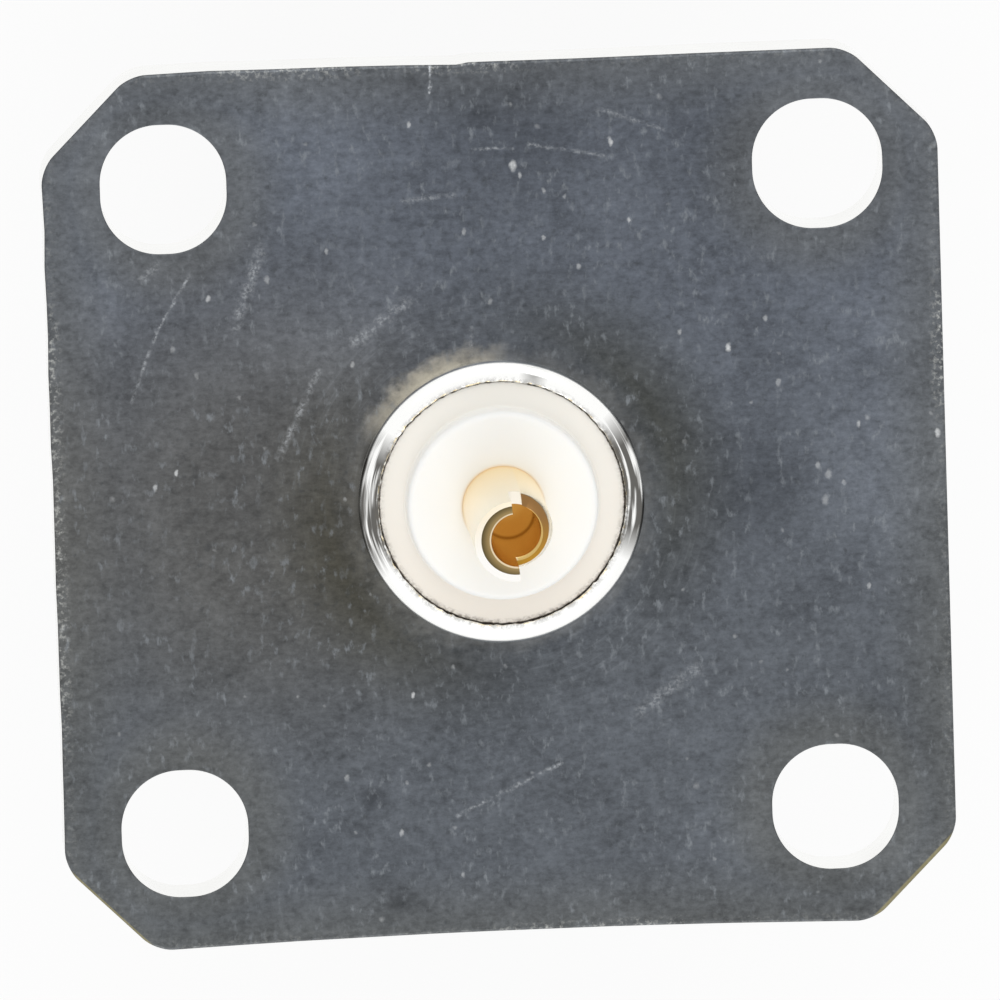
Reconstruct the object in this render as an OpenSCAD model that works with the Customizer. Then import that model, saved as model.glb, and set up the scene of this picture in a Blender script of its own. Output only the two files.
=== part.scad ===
// BNC panel jack with a square four-hole flange, solder side up.
// The origin is the centre of the flange's rear face: the solder cup stands above it on +Z and
// the barrel that takes the plug hangs below it.

/* [Flange] */
// Width of the flange across its flats
flange_w = 17.4; // [16:0.1:24]
// Height of the flange across its flats
flange_h = 17.3; // [16:0.1:24]
// Thickness of the flange
flange_t = 1.3; // [1:0.1:3]
// Leg of the 45 degree cut at each corner
corner_cut = 1.7; // [0.8:0.1:2.4]
// Radius where a corner cut runs into a flat
corner_blend = 0.8; // [0.2:0.1:1.6]
// Spacing of the fixing holes, both ways
hole_pitch = 12.7; // [11.5:0.1:13.2]
// Diameter of the fixing holes
hole_d = 2.55; // [2:0.05:3]
// Least metal left between a fixing hole and a corner cut
hole_wall = 0.4; // [0.2:0.05:0.8]

/* [Barrel] */
// Inside diameter of the plug cavity
cavity_d = 8.1; // [7.6:0.05:8.6]
// Depth of the plug cavity from the mouth
cavity_depth = 8.4; // [7:0.1:10]
// Wall of the barrel around the cavity
barrel_wall = 0.775; // [0.6:0.025:1.2]
// Length of the barrel from the flange to the mouth
barrel_len = 13.5; // [12:0.1:18]
// Lead-in bevel inside the mouth
mouth_lead = 0.3; // [0.1:0.05:0.4]
// Edge bevel outside the mouth
mouth_edge = 0.15; // [0.05:0.05:0.25]
// Fillet between the barrel and the flange
root_fillet = 0.5; // [0.2:0.1:1]

/* [Bayonet lugs] */
// Diameter of the pressed-in bayonet lugs
lug_d = 2; // [1.6:0.05:2.4]
// Height of a lug above the barrel
lug_rise = 0.675; // [0.4:0.025:1]
// Distance of the lugs' axis from the mouth
lug_from_mouth = 4.95; // [4:0.05:6]
// Bevel round the free end of a lug
lug_edge = 0.12; // [0.05:0.01:0.25]

/* [Rear hub] */
// Bore that holds both insulators
bore_d = 5; // [4.9:0.05:5.4]
// Wall of the hub round the bore
hub_wall = 0.28; // [0.2:0.02:0.6]
// Height of the rolled rim above the flange
hub_h = 0.6; // [0.45:0.05:1]
// Reach of the rolled rim over the insulator
rim_reach = 0.1; // [0.06:0.02:0.24]
// Thickness of the rolled rim
rim_t = 0.2; // [0.1:0.05:0.3]
// Radius over the outside of the rolled rim
rim_roll = 0.28; // [0.1:0.02:0.3]
// Thickness of the web that the front insulator stops against
web_t = 1; // [0.6:0.1:1.6]

/* [Insulators] */
// Diameter of the nose that stands in the plug cavity
nose_d = 4.65; // [4.4:0.05:4.7]
// Length of the nose from the cavity floor
nose_len = 5.1; // [4:0.1:6]
// Bevel round the end of the nose
nose_edge = 0.25; // [0.1:0.05:0.5]
// Depth of the joint between the two insulators below the flange's rear face
split_depth = 2.4; // [2:0.1:3]
// Diameter of the raised boss round the solder cup
boss_d = 3.72; // [3:0.02:4.2]
// Height of the boss above the shoulder under the rim
boss_rise = 0.4; // [0.2:0.05:1]
// Bevel round the top of the boss
boss_edge = 0.08; // [0.02:0.02:0.16]

/* [Centre contact] */
// Bore of the slotted socket
socket_bore_d = 1.4; // [1.3:0.02:1.5]
// Wall of the socket
socket_wall = 0.35; // [0.25:0.05:0.5]
// Depth of the socket bore
socket_depth = 5.5; // [4.5:0.1:6.5]
// Distance of the socket's end behind the end of the nose
socket_recess = 0.2; // [0.1:0.05:0.5]
// Bevel round the socket's end
socket_edge = 0.15; // [0.05:0.05:0.2]
// Number of cuts across the socket, each of which makes two slots
slot_cuts = 2; // [1:1:2]
// Width of the slots
slot_w = 0.2; // [0.1:0.05:0.3]
// Length of the slots
slot_len = 4.2; // [3:0.1:4.4]
// Diameter of the collar held between the insulators
collar_d = 2.9; // [2.6:0.05:3.4]
// Thickness of the collar
collar_t = 0.8; // [0.5:0.1:1.2]
// Bore of the solder cup
cup_bore_d = 1.03; // [0.8:0.01:1.1]
// Wall of the solder cup
cup_wall = 0.275; // [0.2:0.025:0.4]
// Depth of the cup's bore below the tall lip
cup_depth = 3.2; // [2.5:0.1:4]
// Height of the tall lip above the boss
cup_rise = 4.05; // [3.4:0.05:6]
// Step down from the tall lip to the short lip
cup_step = 1.05; // [0.6:0.05:1.6]
// Width of the slit beside the tall lip
slit_w = 0.18; // [0.05:0.01:0.3]
// Depth of the slit below the short lip
slit_depth = 0.35; // [0.1:0.05:0.8]
// Width of the bevel outside each lip
lip_bevel = 0.12; // [0.05:0.01:0.16]
// Height of the bevel outside each lip
lip_bevel_h = 0.16; // [0.05:0.01:0.3]

/* [Clearances] */
// Radial gap between an insulator and the metal round it or in it
insulator_gap = 0.02; // [0.01:0.01:0.05]
// Radial gap between the nose and the web
nose_gap = 0.05; // [0.02:0.01:0.08]
// Radial gap between a lug and its hole
lug_gap = 0.01; // [0.005:0.005:0.02]

/* [Hidden] */

$fn = 96;
// Extra length of a cutter past the face that it opens
over = 1;
// Straight pieces in each small arc
arc_steps = 6;

nickel = [0.55, 0.56, 0.58];
ptfe = [0.95, 0.94, 0.92];
gold = [0.83, 0.66, 0.30];

// Radii
cavity_r = cavity_d / 2;
barrel_r = cavity_r + barrel_wall;
bore_r = bore_d / 2;
hub_r = bore_r + hub_wall;
rim_r = bore_r - rim_reach;
insulator_r = bore_r - insulator_gap;
nose_r = nose_d / 2;
web_r = nose_r + nose_gap;
boss_r = boss_d / 2;
socket_bore_r = socket_bore_d / 2;
socket_r = socket_bore_r + socket_wall;
collar_r = collar_d / 2;
cup_bore_r = cup_bore_d / 2;
cup_r = cup_bore_r + cup_wall;

// Heights, from the mouth up to the tip of the solder cup
front_z = -flange_t;
mouth_z = front_z - barrel_len;
floor_z = mouth_z + cavity_depth;
web_z = floor_z + web_t;
nose_z = floor_z - nose_len;
socket_z = nose_z + socket_recess;
split_z = -split_depth;
collar_z = split_z - collar_t;
seat_z = hub_h - rim_t;
boss_z = seat_z + boss_rise;
tall_z = boss_z + cup_rise;
short_z = tall_z - cup_step;
lug_z = mouth_z + lug_from_mouth;

// Points of an arc of radius r about [x, y], from angle a to angle b
function arc(x, y, r, a, b) = [
    for (i = [0:arc_steps])
        let (t = a + (b - a) * i / arc_steps)
            [x + r * cos(t), y + r * sin(t)]
];

// Leg of the corner cut, which stays clear of the fixing hole behind it
flange_mean = (flange_w + flange_h) / 2;
corner_leg = min(corner_cut, flange_mean - hole_pitch - sqrt(2) * (hole_d / 2 + hole_wall));

// Distance of the flange's side number k from the axis: flats and corner cuts take turns
function side_distance(k) =
    k % 2 == 1 ? (flange_mean - corner_leg) / sqrt(2) : (k % 4 == 0 ? flange_w : flange_h) / 2;

// Centre of the blend arc between the flange's sides k and k + 1
function blend_centre(k) =
    let (
        a = 45 * k,
        b = a + 45,
        p = side_distance(k) - corner_blend,
        q = side_distance(k + 1) - corner_blend
    )
    [p * sin(b) - q * sin(a), q * cos(a) - p * cos(b)] / sin(45);

// Square plate with cut corners and blended ends to the cuts
module flange_plate() {
    outline = [
        for (k = [0:7])
            let (c = blend_centre(k))
                each arc(c.x, c.y, corner_blend, 45 * k, 45 * k + 45)
    ];
    translate([0, 0, front_z])
        linear_extrude(flange_t)
            polygon(outline);
}

// Outside of the barrel and the hub, solid to the axis
module turned_outside() {
    fillet = arc(barrel_r + root_fillet, front_z - root_fillet, root_fillet, 180, 90);
    roll = arc(hub_r - rim_roll, hub_h - rim_roll, rim_roll, 0, 90);
    rotate_extrude()
        polygon(concat(
            [
                [0, mouth_z],
                [barrel_r - mouth_edge, mouth_z],
                [barrel_r, mouth_z + mouth_edge]
            ],
            fillet,
            [
                [barrel_r + root_fillet, front_z / 2],
                [hub_r, front_z / 2]
            ],
            roll,
            [[0, hub_h]]
        ));
}

// Space inside the body: plug cavity, web hole, insulator bore and the opening in the rim
module turned_inside() {
    rotate_extrude()
        polygon([
            [0, mouth_z - over],
            [cavity_r + mouth_lead + over, mouth_z - over],
            [cavity_r, mouth_z + mouth_lead],
            [cavity_r, floor_z],
            [web_r, floor_z],
            [web_r, web_z],
            [bore_r, web_z],
            [bore_r, seat_z],
            [rim_r, seat_z],
            [rim_r, hub_h + over],
            [0, hub_h + over]
        ]);
}

// One-piece turned body: flange, barrel and rolled rear rim
module body() {
    color(nickel)
        difference() {
            union() {
                flange_plate();
                turned_outside();
            }
            turned_inside();
            for (x = [-1, 1], y = [-1, 1])
                translate([x * hole_pitch / 2, y * hole_pitch / 2, front_z - over])
                    cylinder(d = hole_d, h = flange_t + 2 * over);
            for (side = [-1, 1])
                translate([0, 0, lug_z])
                    rotate([0, side * 90, 0])
                        cylinder(d = lug_d + 2 * lug_gap, h = barrel_r + over);
        }
}

// Round lug pressed into the barrel's wall, flush with the cavity and bevelled outside
module bayonet_lug(side) {
    color(nickel)
        translate([0, 0, lug_z])
            rotate([0, side * 90, 0])
                rotate_extrude()
                    polygon([
                        [0, cavity_r],
                        [lug_d / 2, cavity_r],
                        [lug_d / 2, barrel_r + lug_rise - lug_edge],
                        [lug_d / 2 - lug_edge, barrel_r + lug_rise],
                        [0, barrel_r + lug_rise]
                    ]);
}

module bayonet_lug_left() {
    bayonet_lug(-1);
}

module bayonet_lug_right() {
    bayonet_lug(1);
}

// Insulator that stops against the web, with its nose in the plug cavity
module front_insulator() {
    socket_hole_r = socket_r + insulator_gap;
    collar_hole_r = collar_r + insulator_gap;
    color(ptfe)
        rotate_extrude()
            polygon([
                [socket_hole_r, nose_z],
                [nose_r - nose_edge, nose_z],
                [nose_r, nose_z + nose_edge],
                [nose_r, web_z],
                [insulator_r, web_z],
                [insulator_r, split_z],
                [collar_hole_r, split_z],
                [collar_hole_r, collar_z],
                [socket_hole_r, collar_z]
            ]);
}

// Insulator held down by the rolled rim, with a raised boss round the solder cup
module rear_insulator() {
    cup_hole_r = cup_r + insulator_gap;
    color(ptfe)
        rotate_extrude()
            polygon([
                [cup_hole_r, split_z],
                [insulator_r, split_z],
                [insulator_r, seat_z],
                [boss_r, seat_z],
                [boss_r, boss_z - boss_edge],
                [boss_r - boss_edge, boss_z],
                [cup_hole_r, boss_z]
            ]);
}

// Ring that bevels the outside of a cup lip whose end is at height z
module lip_bevel_ring(z) {
    slope = lip_bevel_h / lip_bevel;
    rotate_extrude()
        polygon([
            [cup_r - lip_bevel, z],
            [cup_r, z - lip_bevel_h],
            [cup_r + over, z - lip_bevel_h - slope * over],
            [cup_r + over, z]
        ]);
}

// Half space x > 0 around the solder cup, above height z
module short_side(z) {
    translate([0, -collar_d, z])
        cube([2 * collar_d, 2 * collar_d, tall_z + over - z]);
}

// One turned piece: slotted socket in front, collar, and a solder cup with one side cut down
module centre_contact() {
    color(gold)
        difference() {
            rotate_extrude()
                polygon([
                    [0, socket_z],
                    [socket_r - socket_edge, socket_z],
                    [socket_r, socket_z + socket_edge],
                    [socket_r, collar_z],
                    [collar_r, collar_z],
                    [collar_r, split_z],
                    [cup_r, split_z],
                    [cup_r, tall_z - lip_bevel_h],
                    [cup_r - lip_bevel, tall_z],
                    [0, tall_z]
                ]);
            translate([0, 0, socket_z - over])
                cylinder(r = socket_bore_r, h = socket_depth + over);
            for (i = [0:slot_cuts - 1])
                rotate([0, 0, 45 + 180 * i / slot_cuts])
                    translate([-socket_r - over, -slot_w / 2, socket_z - over])
                        cube([2 * (socket_r + over), slot_w, slot_len + over]);
            translate([0, 0, tall_z - cup_depth])
                cylinder(r = cup_bore_r, h = cup_depth + over);
            short_side(short_z);
            translate([0, 0, short_z - slit_depth])
                cube([slit_w, collar_d, slit_depth + over]);
            intersection() {
                lip_bevel_ring(short_z);
                short_side(boss_z);
            }
        }
}

body();
bayonet_lug_left();
bayonet_lug_right();
front_insulator();
rear_insulator();
centre_contact();
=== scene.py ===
"""Looks of a BNC panel jack with a square flange, seen from its solder side."""

import math
import random
from functools import partial

import bmesh
import bpy
from mathutils import Matrix, Vector


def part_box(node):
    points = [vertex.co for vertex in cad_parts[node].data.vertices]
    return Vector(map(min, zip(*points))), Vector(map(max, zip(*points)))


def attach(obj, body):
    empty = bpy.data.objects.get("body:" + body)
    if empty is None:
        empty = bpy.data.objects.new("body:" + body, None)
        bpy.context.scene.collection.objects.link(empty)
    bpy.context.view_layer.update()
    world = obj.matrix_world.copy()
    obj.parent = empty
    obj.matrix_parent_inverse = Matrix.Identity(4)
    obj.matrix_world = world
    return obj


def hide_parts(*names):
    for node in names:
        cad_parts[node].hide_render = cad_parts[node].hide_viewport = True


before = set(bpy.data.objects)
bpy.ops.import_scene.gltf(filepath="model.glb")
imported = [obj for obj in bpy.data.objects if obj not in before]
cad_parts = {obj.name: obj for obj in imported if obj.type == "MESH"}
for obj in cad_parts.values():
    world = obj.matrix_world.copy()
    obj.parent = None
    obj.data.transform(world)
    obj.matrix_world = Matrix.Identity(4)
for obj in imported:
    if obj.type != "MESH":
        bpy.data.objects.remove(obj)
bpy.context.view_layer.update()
bpy.ops.object.select_all(action="DESELECT")

MM = 0.001
X, Y, Z = range(3)


def cad_corners(cad_node):
    """Lowest and highest corners of a CAD node, in millimetres to three places."""
    return [[round(value / MM, 3) for value in corner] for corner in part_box(cad_node)]


# Sizes in millimetres that the frame gives; the right lug lies along X
body_low, body_high = cad_corners("body")
lug_low, lug_high = cad_corners("bayonet_lug_right")
front_low, front_high = cad_corners("front_insulator")
rear_low, rear_high = cad_corners("rear_insulator")
contact_low, contact_high = cad_corners("centre_contact")
FLANGE_W = body_high[X] - body_low[X]
FLANGE_H = body_high[Y] - body_low[Y]
CAVITY_R = lug_low[X]
LUG_TIP = lug_high[X]
LUG_R = round((lug_high[Z] - lug_low[Z]) / 2, 3)
INSULATOR_R = front_high[X]
COLLAR_R = contact_high[X]

# Sizes in millimetres that lie inside those boxes, the same as in the part's source
FLANGE_T = 1.3
CORNER_CUT = 1.7
CORNER_BLEND = 0.8
HOLE_PITCH = 12.7
HOLE_R = 1.275
BARREL_R = 4.825
MOUTH_LEAD = 0.3
MOUTH_EDGE = 0.15
ROOT_FILLET = 0.5
LUG_GAP = 0.01
LUG_EDGE = 0.12
BORE_R = 2.5
HUB_R = 2.78
RIM_R = 2.4
WEB_R = 2.375
NOSE_R = 2.325
NOSE_EDGE = 0.25
INSULATOR_GAP = 0.02
BOSS_R = 1.86
SOCKET_BORE_R = 0.7
SOCKET_R = 1.05
SOCKET_EDGE = 0.15
SLOT_W = 0.2
SLOT_LEN = 4.2
CUP_BORE_R = 0.515
CUP_R = 0.79

# Heights in millimetres, from the mouth of the barrel up to the tall lip of the solder cup
MOUTH_Z = body_low[Z]
NOSE_Z = front_low[Z]
SOCKET_Z = contact_low[Z]
LUG_Z = round((lug_low[Z] + lug_high[Z]) / 2, 3)
FLOOR_Z = -6.4
SOCKET_END_Z = -5.8
WEB_Z = -5.4
COLLAR_Z = -3.2
SPLIT_Z = rear_low[Z]
FRONT_Z = -FLANGE_T
SEAT_Z = 0.4
BOSS_Z = rear_high[Z]
CUP_FLOOR_Z = 1.65
SHORT_Z = 3.8
TALL_Z = contact_high[Z]

# Edges of the flange: bevels, room for the uneven upper edge, the bands that hold the points of
# hole rims and edges, and the worn places on the left
FLANGE_BEVEL = 0.05
HOLE_BEVEL = 0.02
TOP_ROOM = 0.05
HOLE_BAND = 0.15
EDGE_BAND = 0.2
LEFT_START = -5.6
LEFT_STEP = 0.7
LEFT_PLACES = 17
LEFT_WEAR = 0.025
# Each corner of the flange, by its signs of x and y, and the length of its cut
CORNERS = [(-1, 1, 1.76), (1, 1, 1.73), (-1, -1, 1.7), (1, -1, 1.65)]
# Each fixing hole, by its signs of x and y, and half its width and height
HOLES = [(-1, 1, 1.225, 1.265), (1, 1, 1.265, 1.27), (-1, -1, 1.235, 1.255), (1, -1, 1.235, 1.235)]
# Radius of a hole's corners, as a share of half its width or height
HOLE_CORNER = 0.93
# Places across the flange, and how far its upper and lower edges lie above a straight line
UNEVEN = [
    (-5.4, 0.03, 0.035),
    (-4.2, 0.015, 0.065),
    (-2.8, 0.01, 0.085),
    (-1.6, -0.01, 0.1),
    (-0.6, -0.04, 0.105),
    (-0.35, 0, 0.105),
    (1.8, -0.01, 0.1),
    (3.0, -0.005, 0.085),
    (4.2, 0, 0.065),
    (5.4, 0, 0.035),
]

# Rolled rim: its crest, its crown, its inner edge as (radius, height), and the burr along that
RIM_CREST_R = 2.43
RIM_EDGE_Z = 0.28
RIM_CROWN = 0.2
RIM_LIP = [(2.412, 0.475), (RIM_R, 0.455), (RIM_R, 0.43), (2.41, 0.415), (2.44, SEAT_Z)]
BURR_BAND = 0.03
BURR_HEIGHT = 0.06
BURR_GRAIN = 0.11

# Rings of points that keep the barrel's shading even: past the lugs, and round the mouth
LUG_RING = 0.1
MOUTH_RING = 0.42

# Dome on a lug's end: its fall at the edge and halfway out
LUG_DOME = 0.02
LUG_DOME_HALFWAY = 0.008

# Insulators: edge of the hole in the nose, gap round the cup, and rounded edge of the boss
NOSE_HOLE_EDGE = 0.05
CUP_HOLE_GAP = 0.001
BOSS_EDGE = 0.14
# Edge of the rear insulator that the rim presses down: radius, and depth below the seat
PRESSED_EDGE = [(INSULATOR_R, 0.1), (2.43, 0.06), (2.4, 0.04), (2.38, 0.01), (2.36, 0)]
# Foot of the boss: distance outside its wall, and height above the seat
BOSS_FOOT = [(0.06, 0), (0.02, 0.02), (0, 0.08)]

# Socket: the lead at its mouth, and the cone at the end of its bore
SOCKET_LEAD = 0.1
SOCKET_CONE = 0.15

# Solder cup: its bore off the axis, and the circle and slope that bevel or dish each lip
BORE_CENTRE = (0.035, 0.035)
LIP_INNER = 0.03
TALL_LIP_R = 0.67
TALL_LIP_CENTRE = (0, 0.04)
TALL_LIP_SLOPE = 0.9
SHORT_LIP_R = 0.718
SHORT_LIP_CENTRE = (-0.019, 0.074)
SHORT_LIP_SLOPE = 4
DISH_R = 0.545
DISH_CENTRE = (0.038, 0)
DISH_SLOPE = 0.36
# Turn of the cut that lowers one side, in degrees, and the slit that the saw left beside the tall lip
CUT_TURN = 5
SLIT_W = 0.24
SLIT_DEPTH = 0.12
SLIT_START = 0.2
SLIT_END = 1.2
SLIT_TOP = 0.5

# How far cutters reach past a piece
OVER = 1
# Where a lug's drill starts and ends, from the axis
LUG_DRILL = (3, 6)
# Reach of the bar that keeps the cut-down side to the right
CUT_REACH = 3
# Reach of a lip's cutter inside its circle, and outside the cup
LIP_CUTTER_IN = 0.1
LIP_CUTTER_OUT = 0.5
# Overlap of forms that join, and distances that count as touching and as close
OVERLAP = 0.002
SKIN = 0.001
CLOSE = 0.01
# How far a normal rises where a face counts as level, and where it counts as sloping
LEVEL = 0.95
SLOPING = 0.3

# Steps round a large turned piece, a small one, a bar and a hole's corner
TURN_STEPS = 256
SMALL_STEPS = 128
BAR_STEPS = 96
HOLE_STEPS = 24
# Angle in degrees past which an edge stays sharp, and the distance in metres that merges points
SHARP_ANGLE = 20
MERGE = 1e-7


def alone(piece):
    """Leaves this piece as the only one selected, in object mode."""
    bpy.ops.object.select_all(action="DESELECT")
    piece.select_set(True)
    bpy.context.view_layer.objects.active = piece


def edit(piece):
    """Opens this piece alone in edit mode."""
    alone(piece)
    bpy.ops.object.mode_set(mode="EDIT")


def close():
    """Goes back to object mode."""
    bpy.ops.object.mode_set(mode="OBJECT")


def pick(piece, kind, wanted):
    """Selects, in edit mode, the vertices, edges or faces for which wanted() is true."""
    bpy.ops.mesh.select_mode(type=kind)
    bpy.ops.mesh.select_all(action="DESELECT")
    mesh = bmesh.from_edit_mesh(piece.data)
    mesh.normal_update()
    parts = {"VERT": mesh.verts, "EDGE": mesh.edges, "FACE": mesh.faces}[kind]
    for part in parts:
        if wanted(part):
            part.select_set(True)
    mesh.select_flush_mode()
    bmesh.update_edit_mesh(piece.data)


def arc(r, z, radius, start, end, count=6, rise=None):
    """Points of an arc about (r, z), from one angle to another in degrees; rise flattens it."""
    angles = [math.radians(start + (end - start) * i / count) for i in range(count + 1)]
    rise = rise or radius
    return [(r + radius * math.cos(a), z + rise * math.sin(a)) for a in angles]


def turned(name, outline, steps):
    """Turns an outline of (radius, height) points round the axis, as on a lathe."""
    bpy.ops.object.select_all(action="DESELECT")
    bpy.ops.mesh.primitive_plane_add(size=MM)
    piece = bpy.context.object
    piece.name = name
    piece.data.name = name
    bpy.ops.object.mode_set(mode="EDIT")
    bpy.ops.mesh.select_mode(type="VERT")
    bpy.ops.mesh.select_all(action="SELECT")
    bpy.ops.mesh.merge(type="CENTER")
    start = outline[0]
    bpy.ops.transform.translate(value=(start[0] * MM, 0, start[1] * MM))
    for (r, z), (next_r, next_z) in zip(outline, outline[1:]):
        step = ((next_r - r) * MM, 0, (next_z - z) * MM)
        bpy.ops.mesh.extrude_vertices_move(TRANSFORM_OT_translate={"value": step})
    bpy.ops.mesh.select_all(action="SELECT")
    bpy.ops.mesh.remove_doubles(threshold=MERGE)
    bpy.ops.mesh.spin(steps=steps, angle=math.tau, center=(0, 0, 0), axis=(0, 0, 1))
    bpy.ops.mesh.select_all(action="SELECT")
    bpy.ops.mesh.remove_doubles(threshold=MERGE)
    bpy.ops.mesh.normals_make_consistent(inside=False)
    close()
    return piece


def rod(radius, start, end, vertices=BAR_STEPS):
    """Round bar between two points in millimetres."""
    start, end = Vector(start), Vector(end)
    along = end - start
    turn = Vector((0, 0, 1)).rotation_difference(along).to_euler()
    bpy.ops.object.select_all(action="DESELECT")
    bpy.ops.mesh.primitive_cylinder_add(
        vertices=vertices,
        radius=radius * MM,
        depth=along.length * MM,
        location=(start + end) / 2 * MM,
        rotation=turn,
    )
    piece = bpy.context.object
    bpy.ops.object.transform_apply(location=True, rotation=True, scale=True)
    return piece


def block(low, high, turn=0):
    """Square bar between two corners in millimetres, turned round the axis by degrees."""
    low, high = Vector(low), Vector(high)
    bpy.ops.object.select_all(action="DESELECT")
    bpy.ops.mesh.primitive_cube_add(size=MM, location=(low + high) / 2 * MM, scale=high - low)
    piece = bpy.context.object
    bpy.ops.object.transform_apply(location=True, rotation=True, scale=True)
    piece.rotation_euler.z = math.radians(turn)
    bpy.ops.object.transform_apply(location=True, rotation=True, scale=True)
    return piece


def combine(piece, tool, operation):
    """Joins a tool to a piece or cuts it out, and removes the tool."""
    alone(piece)
    step = piece.modifiers.new("combine", "BOOLEAN")
    step.operation = operation
    step.solver = "EXACT"
    step.object = tool
    bpy.ops.object.modifier_apply(modifier=step.name)
    bpy.data.objects.remove(tool)


def smooth(piece):
    """Smooth shading, apart from edges past the sharp angle."""
    alone(piece)
    bpy.ops.object.shade_smooth_by_angle(angle=math.radians(SHARP_ANGLE))


def is_upright(edge):
    """An edge that runs along the axis."""
    a, b = edge.verts
    return abs(a.co.z - b.co.z) > FLANGE_T * MM / 2


def is_rim(edge):
    """An edge between a flat of the flange and one of its walls."""
    if len(edge.link_faces) != 2:
        return False
    slopes = sorted(abs(face.normal.z) for face in edge.link_faces)
    return slopes[0] < SLOPING and slopes[1] > LEVEL


def is_hole_rim(edge):
    """A rim of one of the four fixing holes."""
    middle = (edge.verts[0].co + edge.verts[1].co) / 2 / MM
    from_hole = math.hypot(abs(middle.x) - HOLE_PITCH / 2, abs(middle.y) - HOLE_PITCH / 2)
    return is_rim(edge) and from_hole < HOLE_R + HOLE_BAND


def at_corner(edge, x, y):
    """An edge in the quarter of the flange with these signs of x and y."""
    middle = (edge.verts[0].co + edge.verts[1].co) / 2
    return middle.x * x > 0 and middle.y * y > 0


def move_edge(plate, axis, at, side, inwards):
    """Moves the plate's edge on one side inwards, at one place along X or Y."""
    across = Y if axis == X else X
    limit = (FLANGE_H if across == Y else FLANGE_W) / 2 - EDGE_BAND
    pick(
        plate,
        "VERT",
        lambda v: abs(v.co[axis] / MM - at) < CLOSE and side * v.co[across] / MM > limit,
    )
    value = [0, 0, 0]
    value[across] = -side * inwards * MM
    bpy.ops.transform.translate(value=value)


def punch(x, y, wide, high):
    """Punch for a fixing hole: a square bar with its corners well rounded."""
    bar = block((x - wide, y - high, -FLANGE_T - OVER), (x + wide, y + high, OVER))
    edit(bar)
    pick(bar, "EDGE", is_upright)
    corner = HOLE_CORNER * min(wide, high)
    bpy.ops.mesh.bevel(offset=corner * MM, segments=HOLE_STEPS, affect="EDGES")
    close()
    return bar


def build_flange():
    """Square plate with cut corners, four punched holes and edges the shears left uneven."""
    half_w, half_h = FLANGE_W / 2, FLANGE_H / 2
    plate = block((-half_w, -half_h, -FLANGE_T), (half_w, half_h - TOP_ROOM, 0))
    edit(plate)
    for x, y, leg in CORNERS:
        pick(plate, "EDGE", lambda edge: is_upright(edge) and at_corner(edge, x, y))
        bpy.ops.mesh.bevel(offset=leg * MM, segments=1, affect="EDGES")
    pick(plate, "EDGE", is_upright)
    blend = CORNER_BLEND * math.tan(math.radians(45 / 2))
    bpy.ops.mesh.bevel(offset=blend * MM, segments=8, affect="EDGES")
    # Cuts across the plate give the edges points that can move
    left_edge = [LEFT_START + LEFT_STEP * i for i in range(LEFT_PLACES)]
    for axis, places in ((X, [at for at, up, down in UNEVEN]), (Y, left_edge)):
        normal = (1, 0, 0) if axis == X else (0, 1, 0)
        for at in places:
            bpy.ops.mesh.select_all(action="SELECT")
            bpy.ops.mesh.bisect(plane_co=(at * MM, at * MM, 0), plane_no=normal)
    for at, up, down in UNEVEN:
        move_edge(plate, X, at, 1, -up)
        move_edge(plate, X, at, -1, down)
    chance = random.Random(11)
    for at in left_edge:
        move_edge(plate, Y, at, -1, chance.uniform(0, LEFT_WEAR))
    close()
    for x, y, wide, high in HOLES:
        combine(plate, punch(x * HOLE_PITCH / 2, y * HOLE_PITCH / 2, wide, high), "DIFFERENCE")
    edit(plate)
    pick(plate, "EDGE", is_hole_rim)
    bpy.ops.mesh.bevel(offset=HOLE_BEVEL * MM, segments=2, affect="EDGES")
    pick(plate, "EDGE", lambda edge: is_rim(edge) and not is_hole_rim(edge))
    bpy.ops.mesh.bevel(offset=FLANGE_BEVEL * MM, segments=2, affect="EDGES")
    close()
    bore = rod((BORE_R + HUB_R) / 2, (0, 0, FRONT_Z - OVER), (0, 0, OVER), TURN_STEPS)
    combine(plate, bore, "DIFFERENCE")
    return plate


def fray(piece):
    """Makes the inner edge of the rolled rim ragged, as the rolling tool leaves it."""
    edit(piece)
    pick(
        piece,
        "VERT",
        lambda v: v.co.xy.length < (RIM_R + BURR_BAND) * MM and v.co.z > (SEAT_Z + CLOSE) * MM,
    )
    bpy.ops.object.vertex_group_assign_new()
    close()
    burr = bpy.data.textures.new("rim_burr", "CLOUDS")
    burr.noise_scale = BURR_GRAIN * MM
    burr.noise_depth = 3
    step = piece.modifiers.new("burr", "DISPLACE")
    step.texture = burr
    step.texture_coords = "LOCAL"
    step.direction = "NORMAL"
    step.strength = BURR_HEIGHT * MM
    step.vertex_group = piece.vertex_groups[0].name
    alone(piece)
    bpy.ops.object.modifier_apply(modifier=step.name)


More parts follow.
